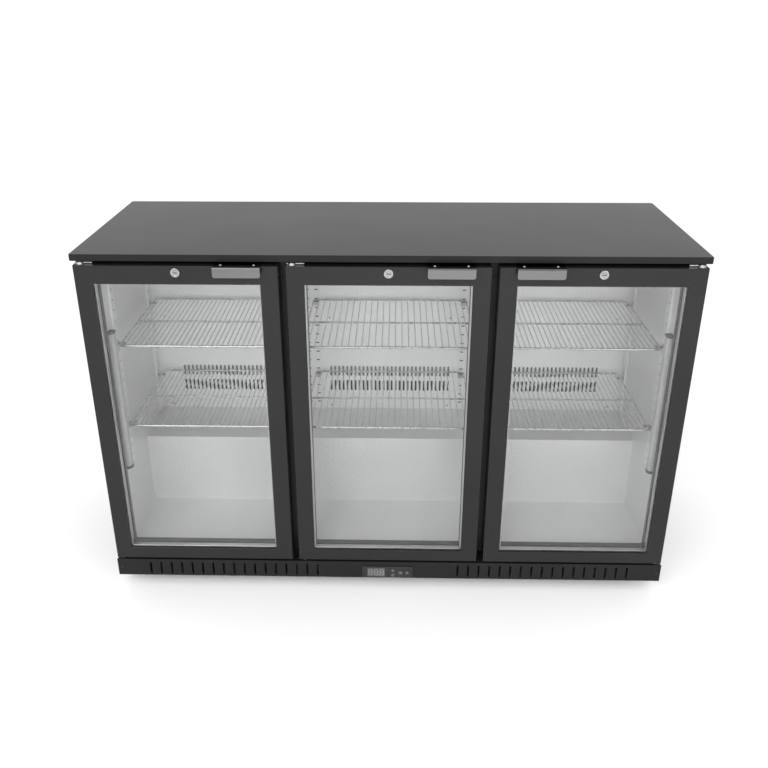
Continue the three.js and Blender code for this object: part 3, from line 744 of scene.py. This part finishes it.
# A fan's place has None along its axis, where the CAD node's middle is used.
FANS = {
    "evaporator_fan": dict(axis="y", place=(20, None, 570), radius=54.5, hub=15, bore=3.3, high=12),
    "condenser_fan": dict(axis="x", place=(None, 142, 142), radius=77.5, hub=20, bore=4.3, high=16),
}


def make_evaporator():
    """The cooling coil behind the duct: thin fins on copper runs, with the fan motor beside it."""
    x, y, z = COIL["box"]
    fins = Shape()
    for place in spread(x[0] + 8, x[1] - 8, COIL["fins"]):
        fins.box(around(place, 0.25), y, z)
    for end in x:
        fins.box(around(end, 1.0), inset(y, -1), inset(z, -4))
    fins.piece("evaporator_fins", "fins", ["evaporator_coil"])
    pipes = Shape()
    serpentine(pipes, inset(x, -2), z[0] + 20, 26, 4.5, 14, lambda a, h: (a, COIL["pipe_y"], h))
    pipes.piece("evaporator_pipes", "copper")
    x, _, z = FANS["evaporator_fan"]["place"]
    centre = (x, 0, z)
    motor = Shape()
    motor.disc(centre, 24, 198, 216, axis="y", edge=2)
    motor.disc(centre, 3, 178, 199, axis="y", edge=0.4, sides=20)
    for shift in (-18, 18):
        motor.box((-60, 44), (213, 215.5), around(z + shift, 3))
    motor.piece("evaporator_motor", "enamel")


def make_fan(node):
    """A moulded fan wheel with curved, twisted blades. Its bore keeps clear of the motor shaft."""
    fan = FANS[node]
    hub, bore, high = fan["hub"], fan["bore"], fan["high"]
    root, half = hub * 0.9, high / 2
    outline = [(side, step) for side in (1, -1) for step in range(9)[::side]]
    wheel = Shape()
    for blade in range(5):
        rings = []
        for row in range(7):
            t = row / 6
            reach = root + (fan["radius"] - root) * t
            ring = []
            for side, step in outline:
                along = step / 8 - 0.5
                angle = 2 * pi * blade / 5 + along * (0.95 - 0.25 * t) + 0.18 * t
                lift = along * 2 * high * (0.62 - 0.18 * t) + high * 0.12 * (1 - 4 * along * along)
                ring.append((reach * cos(angle), reach * sin(angle), lift + side * 0.55))
            rings.append(ring)
        wheel.loft(rings)
    wheel.lathe([(bore, -half), (hub - 2, -half), (hub, -half + 2), (hub, half - 3), (hub - 3, half),
                 (bore, half)], (0, 0, 0), "z", 40)
    centre = [mid(span) if known is None else known for known, span in zip(fan["place"], spans(node))]
    turn = Matrix.Rotation(pi / 2, 4, "X" if fan["axis"] == "y" else "Y")
    bmesh.ops.transform(wheel.bm, matrix=Matrix.Translation(Vector(centre)) @ turn, verts=wheel.bm.verts)
    wheel.piece(node + "_wheel", "fan", [node], body=node, sharp=45)


COMPRESSOR = {"y": 142, "radius": 76, "mount_x": 83, "mount_y": 70}
# Each copper pipe: the points of its path, the radius of its bends, its own radius.
COMPRESSOR_PIPES = (
    ([(-60, 110, 120), (-105, 100, 120), (-105, 100, 235), (-105, 175, 235), (-330, 175, 235),
      (-345, 175, 228)], 16, 4),
    ([(-62, 170, 140), (-118, 216, 140), (-118, 216, 60), (-345, 216, 60)], 14, 3.2),
    ([(40, 190, 170), (60, 226, 170), (60, 226, 240), (60, 236, 252)], 10, 4.5),
)


def make_compressor():
    """The sealed compressor: a seamed shell, a wiring box, pipes and rubber mounts."""
    middle, radius = COMPRESSOR["y"], COMPRESSOR["radius"]
    profile = [(0, 46), (50, 46), *arc((50, 72), 26, -90, 0, 6), (radius, 128), (79, 128.5), (79, 133.5),
               (radius, 134), *arc((40, 164), 36, 0, 62, 6), *arc((8, 152), 64, 68, 84, 3), (0, 216)]
    Shape().lathe(profile, (0, middle, 0), "z", 56).piece(
        "compressor_shell", "enamel", ["compressor"], sharp=35)
    base = Shape().slab((-95, 95), (59, 225), (44, 47), 16, plane="xy", edge=0.6, steps=6)
    base.piece("compressor_base", "enamel")
    mounts = Shape()
    grommet = [(0, 32.3), (11, 32.3), (11, 36), (8, 37.5), (11, 39), (11, 43.8), (7, 44.5), (7, 50), (0, 50)]
    for i in (-1, 1):
        for j in (-1, 1):
            place = (i * COMPRESSOR["mount_x"], middle + j * COMPRESSOR["mount_y"], 0)
            mounts.lathe(grommet, place, "z", 24)
    mounts.piece("compressor_mounts", "seal", sharp=30)
    box = Shape().box((radius - 6, radius + 22), (118, 166), (92, 142))
    box.piece("compressor_wiring_box", "plastic", bevel=3, segments=3)
    pipes = Shape()
    for path, bend, thick in COMPRESSOR_PIPES:
        pipes.tube(bent(path, bend, 6), thick, 12)
    pipes.piece("compressor_pipes", "copper")


CONDENSER = {"box": ((-400, -340), (60, 225), (33, 235)), "fins": 44, "pipe_x": (-388, -370, -352)}


def make_condenser():
    x, y, z = CONDENSER["box"]
    fins = Shape()
    for row in spread(y[0] + 4, y[1] - 4, CONDENSER["fins"]):
        fins.box(inset(x, 3), around(row, 0.3), inset(z, 3))
    for end in y:
        fins.box(x, around(end, 0.8), z)
    fins.piece("condenser_fins", "fins", ["condenser_coil"])
    pipes = Shape()
    for column in CONDENSER["pipe_x"]:
        serpentine(pipes, inset(y, -1), z[0] + 20, 27, 3.8, 12, lambda a, h, c=column: (c, a, h))
    pipes.piece("condenser_pipes", "copper")
    centre = (0, *FANS["condenser_fan"]["place"][1:])
    motor = Shape()
    motor.disc(centre, 30, -300, -250, axis="x", edge=3)
    motor.disc(centre, 4, -327, -299, axis="x", edge=0.5, sides=20)
    motor.piece("condenser_motor", "enamel")
    bracket = Shape().box((-290, -260), (134, 150), (34, 113)).box((-337, -250), (112, 172), (33, 36))
    bracket.piece("condenser_motor_bracket", "galvanised", bevel=0.8)


# ---------------- base

FEET = [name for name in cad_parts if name.startswith("foot_")]


def make_tray():
    """The base pan: a folded sheet whose side flanges carry the body."""
    x, y, z = spans("base_tray")
    pan = Shape()
    outline = [(x[0], z[0]), (x[1], z[0]), (x[1], z[1]), (x[1] - 2, z[1]), (x[1] - 2, z[0] + 2),
               (x[0] + 2, z[0] + 2), (x[0] + 2, z[1]), (x[0], z[1])]
    pan.prism(outline, *y, plane="xz")
    holes = Shape()
    for name in FEET:
        fx, fy, _ = spans(name)
        holes.ring((mid(fx), mid(fy), 0), 0, 5.6, z[0] - 1, z[0] + 3, sides=24)
    pan.cut(holes).piece("base_pan", "galvanised", ["base_tray"], bevel=0.5)


def make_foot(name):
    """A levelling foot: rubber pad, hexagonal collar and a threaded stud."""
    x, y, z = spans(name)
    place = (mid(x), mid(y), 0)
    pad = Shape().lathe([(0, 0), (22.5, 0), (24, 1.5), (24, 5), (22, 6.5), (16, 8), (13.5, 11), (0, 11)],
                        place, "z", 48)
    pad.piece(name + "_pad", "seal", [name], body=name, sharp=35)
    stud = Shape()
    stud.ring(place, 0, 9, 11, 14, sides=32)
    stud.prism(arc(place, 9.5, 0, 300, 5), 14, 21)
    profile = [(0, 21), (5, 21)]
    turn = 21.5
    while turn < z[1] - 2:
        profile += [(5.0, turn), (4.2, turn + 0.75)]
        turn += 1.5
    profile += [(4.2, z[1] - 0.6), (3.6, z[1]), (0, z[1])]
    stud.lathe(profile, place, "z", 24)
    stud.piece(name + "_stud", "screw", body=name, slot="silver", sharp=28)


SLOT = {"first": 172, "pitch": 25.8, "count": 17, "half": 2.4, "z": (35.5, 68.5)}
KICK_SCREW = {"x": 657, "z": 52}


def make_kick_plate():
    """The slotted plinth with a folded top edge and a screw at each end."""
    x, y, z = spans("kick_plate")
    panel_x, _, panel_z = spans("controller")
    holes = []
    for sign in (-1, 1):
        for k in range(SLOT["count"]):
            column = sign * (SLOT["first"] + k * SLOT["pitch"])
            holes.append(rounded(around(column, SLOT["half"]), SLOT["z"], 2.3, 4))
        holes.append(arc((sign * KICK_SCREW["x"], KICK_SCREW["z"]), 2.6, 0, 345, 15))
    holes.append(rounded(inset(panel_x, 4), inset(panel_z, 4), 1.5, 3))
    plate = Shape().slab(x, z, y, 1.2, holes, edge=0.45)
    plate.box(inset(x, 1.5), (y[1] - 0.5, y[1] + 9), (z[1] - 1.9, z[1] - 0.4))
    plate.piece("kick_panel", "kick", ["kick_plate"], sharp=50)
    columns = (-KICK_SCREW["x"], KICK_SCREW["x"])
    screw_grid("kick_screws", "dark_screw", columns, (KICK_SCREW["z"],), y[0] + 0.6, 2.4, proud=0.8)


# The bars of a digit: the side and the height of its middle, and whether it is upright.
SEGMENTS = ((0, 1, False), (1, 0.5, True), (1, -0.5, True), (0, -1, False), (-1, -0.5, True), (-1, 0.5, True),
            (0, 0, False))
DIGIT = {"x": (-42, -28, -14), "z": 47, "wide": 4.2, "high": 7.6, "bar": 1.0}
SIGNS = {"x": 13, "star_z": 53, "ring_z": 39}


def make_controller():
    """The thermostat: a shallow bezel, a dark window with three unlit digits and two signs."""
    x, y, z = spans("controller")
    face = y[0]
    openings = [rounded((-50, -6), (34, 60), 1.5, 3)]
    for key in ("controller_key_set", "controller_key_defrost"):
        key_x, _, key_z = spans(key)
        openings.append(rounded(inset(key_x, -0.4), inset(key_z, -0.4), 1.5, 3))
    bezel = Shape().slab(x, z, (face, face + 1.6), 2.5, openings, edge=0.5)
    bezel.box(inset(x, 4.5), (-231, -205), inset(z, 4.5))
    bezel.piece("controller_bezel", "plastic", ["controller"], sharp=45)
    window = Shape().slab((-49.7, -6.3), (34.3, 59.7), (face + 0.4, face + 1.4), 1.3, edge=0.2, steps=3)
    window.piece("controller_window", "window")
    digits = Shape()
    wide, high, bar = DIGIT["wide"], DIGIT["high"], DIGIT["bar"]
    deep = (face + 0.15, face + 0.5)
    for middle in DIGIT["x"]:
        for column, row, upright in SEGMENTS:
            half_wide, half_high = (bar, high * 0.42) if upright else (wide * 0.75, bar)
            place = (middle + column * wide, DIGIT["z"] + row * high)
            digits.box(around(place[0], half_wide), deep, around(place[1], half_high))
    digits.disc((DIGIT["x"][1] + 7, 0, DIGIT["z"] - high), 1.1, *deep, "y", 0.1, 12)
    digits.piece("controller_digits", "mark")
    signs = Shape()
    star = Vector((SIGNS["x"], face + 0.1, SIGNS["star_z"]))
    for k in range(3):
        angle = pi * k / 3
        reach = Vector((cos(angle), 0, sin(angle))) * 4
        signs.tube([star - reach, star + reach], 0.5, 8)
    signs.ring((SIGNS["x"], 0, SIGNS["ring_z"]), 2.4, 3.4, face - 0.1, face + 0.4, "y", 24)
    signs.piece("controller_signs", "mark")


def make_key(name, body):
    x, y, z = spans(name)
    Shape().slab(x, z, y, 1.4, edge=0.4).piece(name + "_cap", "key", [name], body=body)
    middle = (mid(x), 0, mid(z))
    low, high = y[0] - 0.1, y[0] + 0.3
    if "set" in name:
        sign = Shape().box(around(middle[0], 2.6), (low, high), around(middle[2], 1.3))
    else:
        sign = Shape().ring(middle, 1.6, 2.5, low, high, "y", 24)
    sign.piece(name + "_sign", "mark", body=body, slot="key")


SERVICE = {"left_slots": (-120, 44), "right_slots": (470, 10), "slot_pitch": 10, "gland": (480, 120)}


def make_rear_grille():
    """The service cover, with air slots and the mains cable's gland."""
    x, y, z = spans("rear_grille")
    sheet = y[0] + 2
    openings = []
    for field, rows in (("left_slots", inset(z, 38)), ("right_slots", (168, 208))):
        middle, count = SERVICE[field]
        columns = spread(*around(middle, SERVICE["slot_pitch"] * (count - 1) / 2), count)
        openings += [rounded(around(column, 2.2), rows, 2.1, 3) for column in columns]
    openings.append(arc(SERVICE["gland"], 7, 0, 345, 23))
    Shape().slab(x, z, (y[0], sheet), 3, openings, edge=0.5).piece(
        "service_cover", "casing", ["rear_grille"], sharp=50)
    profile = [(5, y[0] - 6), (6.5, y[0] - 6), (6.5, sheet - 0.2), (11, sheet - 0.2), (11, sheet + 1),
               (9, y[1]), (5, y[1])]
    across, up = SERVICE["gland"]
    Shape().lathe(profile, (across, 0, up), "y", 36).piece("cable_gland", "seal", sharp=30)
    columns = (-636, -320, 0, 320, 636)
    screw_grid("service_cover_screws", "dark_screw", columns, inset(z, 10), sheet, 3.4, out=1, proud=1.6)


# ---------------- doors

RAILS = (39, 40.5, 31)
STILE = RAILS[0]
HINGE = {"inset": 13, "y": -225, "boss": 8, "neck": 1.2, "thick": 3, "flange_top": 87.5}


def make_door_frame(bay):
    """Four mitred rails of a hollow-backed section, drilled for the hinge pins and the lock."""
    x, y, z = spans(f"door_frame_{bay}")
    front, back = y
    pane = spans(f"glass_unit_{bay}")[1]
    profile = [
        *arc((2.6, front + 2.6), 2.6, 180, 270, 4), (STILE - 0.6, front), (STILE, front + 0.6),
        (STILE, pane[0] - 0.4), (30.8, pane[0] - 0.4), (30.8, pane[1] + 0.4), (36.6, pane[1] + 0.4),
        (34.6, back - 0.8), (33.6, back), (29, back), (29, back - 4), (12.5, back - 4), (12.5, back),
        (2, back), (0, back - 2),
    ]
    drill = Shape()
    pin = (*hinge_pin(bay), 0)
    for low, high in ((z[0] - 1, z[0] + 18), (z[1] - 18, z[1] + 1)):
        drill.ring(pin, 0, 4.2, low, high)
    lock_z = spans(f"lock_body_{bay}")[2]
    drill.ring((mid(x), 0, mid(lock_z)), 0, 8.3, front - 1, back + 1, "y", 36)
    Shape().rails(x, z, profile, RAILS).cut(drill).piece(
        f"door_rails_{bay}", "door", [f"door_frame_{bay}"], body=f"door_{bay}", sharp=30)


def make_glazing(bay):
    """Two panes with an aluminium spacer between them, held at the back by a grey bead."""
    x, y, z = spans(f"glass_unit_{bay}")
    body = f"door_{bay}"
    for name, depth in (("outer", (y[0], y[0] + 4)), ("inner", (y[1] - 4, y[1]))):
        Shape().box(inset(x, 0.3), depth, inset(z, 0.3)).piece(
            f"{name}_pane_{bay}", "glass", [f"glass_unit_{bay}"], body=body)
    low, high = y[0] + 4.05, y[1] - 4.05
    profile = [(4, low), (9.8, low), (10.3, low + 0.5), (10.3, high - 0.5), (9.8, high), (4, high)]
    Shape().rails(x, z, profile).piece(f"pane_spacer_{bay}", "spacer", body=body, sharp=30)
    x, (_, rear), z = spans(f"door_frame_{bay}")
    low = y[1] + 0.3
    profile = [(36, low), (43, low), (43, low + 1.7), (42, low + 2.7), (41.6, rear - 4), (40.2, rear - 2),
               (38, rear - 1), (35.2, rear - 1)]
    Shape().rails(x, z, profile, RAILS).piece(f"glazing_bead_{bay}", "bead", body=body, sharp=30)


def make_gasket(bay):
    """The door seal: a barbed foot in the rail, bellows and a soft magnet tube."""
    x, (front, back), z = spans(f"gasket_{bay}")
    profile = [
        (0.5, back), (0, back - 1.2), (1.2, back - 2.6), (0.2, back - 4.0), (1.6, back - 5.4),
        (2.4, front + 1.2), (5.2, front + 0.1), (5.4, front - 2.6), (6.4, front - 3.6), (7.4, front - 2.6),
        (7.6, front + 0.1), (11.4, front + 1.2), (12.4, back - 5.4), (13.8, back - 4.0), (12.8, back - 2.6),
        (14, back - 1.2), (13.5, back),
    ]
    Shape().rails(x, z, profile).piece(
        f"door_seal_{bay}", "seal", [f"gasket_{bay}"], body=f"door_{bay}", sharp=50)


HANDLE = {"thick": 2.0, "bend": 3.0, "corner": 5.0, "screws": 35, "screw_y": -235}


def make_handle(bay):
    """A folded grip plate that hangs in front of the rail and is screwed on top of it."""
    x, (front, back), (low, high) = spans(f"handle_{bay}")
    thick, bend, corner = HANDLE["thick"], HANDLE["bend"], HANDLE["corner"]
    turns = [(cos(pi * k / 12), sin(pi * k / 12)) for k in range(7)]
    rows = [(corner * (1 - b), (front, low + corner * (1 - a)), (1, 0)) for a, b in turns]
    rows += [(0, (front + bend * (1 - a), high - bend * (1 - b)), (a, -b)) for a, b in turns]
    rows.append((0, (back, high), (0, -1)))
    rings = []
    for pull, (y, z), (normal_y, normal_z) in rows:
        inner = (y + normal_y * thick, z + normal_z * thick)
        left, right = inset(x, pull)
        rings.append([(left, y, z), (right, y, z), (right, *inner), (left, *inner)])
    Shape().loft(rings).piece(
        f"grip_{bay}", "aluminium", [f"handle_{bay}"], body=f"door_{bay}", bevel=0.35, sharp=35)
    screws = Shape()
    for place in around(mid(x), HANDLE["screws"]):
        screws.screw((place, HANDLE["screw_y"], high), 2.8, axis="z", out=1, proud=1.4)
    screws.piece(f"grip_screws_{bay}", "screw", body=f"door_{bay}")


# The keyhole's outline, and the length and radii of the cam, from the middle of the plug.
KEYHOLE = ((-3.9, -1), (0.6, -1), (0.6, -1.8), (1.9, -1.8), (1.9, -1), (3.9, -1), (3.9, 1), (-0.8, 1),
           (-0.8, 1.7), (-2, 1.7), (-2, 1), (-3.9, 1))
CAM = {"length": 17, "tip": 5, "root": 5.6}


def make_lock(bay):
    """A cam lock: a chromed cup, and a turning plug with a keyhole and a cam."""
    x, (front, back), z = spans(f"lock_body_{bay}")
    middle = (mid(x), mid(z))
    centre = (middle[0], 0, middle[1])
    cup = [(5.3, front + 0.9), (6.2, front + 0.9), (7.0, front + 0.2), (8.6, front), (9.6, front + 0.5),
           (10, front + 1.5), (10, front + 2.5), (8, front + 2.5), (8, back), (5.3, back)]
    Shape().lathe(cup, centre, "y", 48).piece(
        f"lock_cup_{bay}", "chrome", [f"lock_body_{bay}"], body=f"door_{bay}", sharp=35)
    face, rear = spans(f"lock_plug_{bay}")[1]
    plug = Shape().disc(centre, 5, face, rear, axis="y", edge=0.5, sides=40)
    keyhole = [(middle[0] + a, middle[1] + b) for a, b in KEYHOLE]
    plug.cut(Shape().prism(keyhole, face - 1, face + 6, plane="xz"))
    tip, end = CAM["tip"], (middle[0] + CAM["length"], middle[1])
    cam = [(end[0], end[1] - tip), *arc(end, tip, -80, 80, 8), (end[0], end[1] + tip),
           *arc(middle, CAM["root"], 90, 270, 10)]
    plug.prism(cam, rear - 2, rear, plane="xz")
    plug.piece(f"lock_core_{bay}", "chrome", [f"lock_plug_{bay}"], body=f"lock_plug_{bay}", sharp=35)


def hinge_pin(bay):
    """The plan position of a door's hinge pins. Only the right door hangs on its right."""
    x = spans(f"door_frame_{bay}")[0]
    return (x[1] - HINGE["inset"] if bay == "right" else x[0] + HINGE["inset"], HINGE["y"])


def hinge_outline(x, pin, back):
    """A plate that narrows to a round boss at the pin."""
    neck = pin[1] + HINGE["neck"]
    return [(x[1], back), (x[0], back), (x[0], neck), *arc(pin, HINGE["boss"], 172, 368, 14), (x[1], neck)]


def make_hinges(bay):
    """Upper and lower pivot hinges with nylon washers."""
    pin, thick = hinge_pin(bay), HINGE["thick"]
    centre = (*pin, 0)
    x, y, z = spans(f"top_hinge_{bay}")
    upper = Shape().plate(hinge_outline(x, pin, y[1]), [], z[1] - thick, z[1], edge=0.5)
    upper.disc(centre, 4, z[0], z[1] - 1.5, edge=0.6, sides=28)
    upper.disc(centre, 5.2, z[1] - 0.6, z[1] + 1.1, edge=0.6, sides=28)
    upper.piece(f"top_hinge_plate_{bay}", "hinge", [f"top_hinge_{bay}"], sharp=45)
    x, y, z = spans(f"bottom_hinge_{bay}")
    lower = Shape().plate(hinge_outline(x, pin, y[1]), [], z[0], z[0] + thick, edge=0.5)
    lower.box(x, (y[1] - thick, y[1]), (z[0] + 1, HINGE["flange_top"]))
    lower.disc(centre, 4, z[0] + 1.5, z[1], edge=0.6, sides=28)
    lower.piece(f"bottom_hinge_plate_{bay}", "hinge", [f"bottom_hinge_{bay}"], sharp=45)
    bottom, top = spans(f"door_frame_{bay}")[2]
    washers = Shape().ring(centre, 4.3, 7, top + 0.05, top + 0.85)
    washers.ring(centre, 4.3, 7, bottom - 0.55, bottom - 0.05)
    washers.piece(f"hinge_washers_{bay}", "nylon", sharp=35)


# ---------------- stage

def make_stage():
    ground = Shape().box((-6000, 6000), (-6000, 6000), (-10, 0))
    bmesh.ops.transform(ground.bm, matrix=Matrix.Scale(MM, 4), verts=ground.bm.verts)
    floor = linked("floor", baked(ground.bm, "floor"))
    finish = Finish("pale_floor", Roughness=0.6)
    finish.colours(finish.noise(1.5, 3), 0.95, 0.97)
    floor.data.materials.append(finish.material)


def add_softbox(name, place, target, size, power, mirrored=True):
    data = bpy.data.lights.new(name, "AREA")
    data.shape = "RECTANGLE"
    data.size, data.size_y = size
    data.energy = power
    lamp = linked(name, data)
    lamp.location = place
    lamp.rotation_euler = (Vector(target) - Vector(place)).to_track_quat("-Z", "Y").to_euler()
    lamp.visible_glossy = mirrored


def make_lights():
    world = bpy.data.worlds.new("studio")
    bpy.context.scene.world = world
    world.use_nodes = True
    background = world.node_tree.nodes["Background"].inputs
    background["Color"].default_value = (1, 1, 1, 1)
    background["Strength"].default_value = 1.05
    add_softbox("key", (-1.4, -3.2, 3.0), (0, 0, 0.4), (2.4, 1.6), 52)
    add_softbox("fill", (2.2, -3.0, 1.6), (0, 0, 0.4), (2.0, 2.0), 25)
    add_softbox("front", (0.2, -3.6, 1.0), (0, 0, 0.55), (1.8, 1.0), 26, mirrored=False)
    bpy.context.scene.view_settings.view_transform = "Standard"


# ---------------- assembly

make_worktop()
make_casing()
make_liner()
make_duct_cover()
make_air_guides()
make_tracks()
make_lamps()
for shelf_name in SHELVES:
    make_shelf(shelf_name)
make_shelf_clips()
make_evaporator()
make_fan("evaporator_fan")
make_compressor()
make_condenser()
make_fan("condenser_fan")
make_tray()
for foot_name in FEET:
    make_foot(foot_name)
make_kick_plate()
make_controller()
make_key("controller_key_set", "key_set")
make_key("controller_key_defrost", "key_defrost")
make_rear_grille()
for bay_name in BAYS:
    for make in (make_door_frame, make_glazing, make_gasket, make_handle, make_lock, make_hinges):
        make(bay_name)
make_stage()
make_lights()
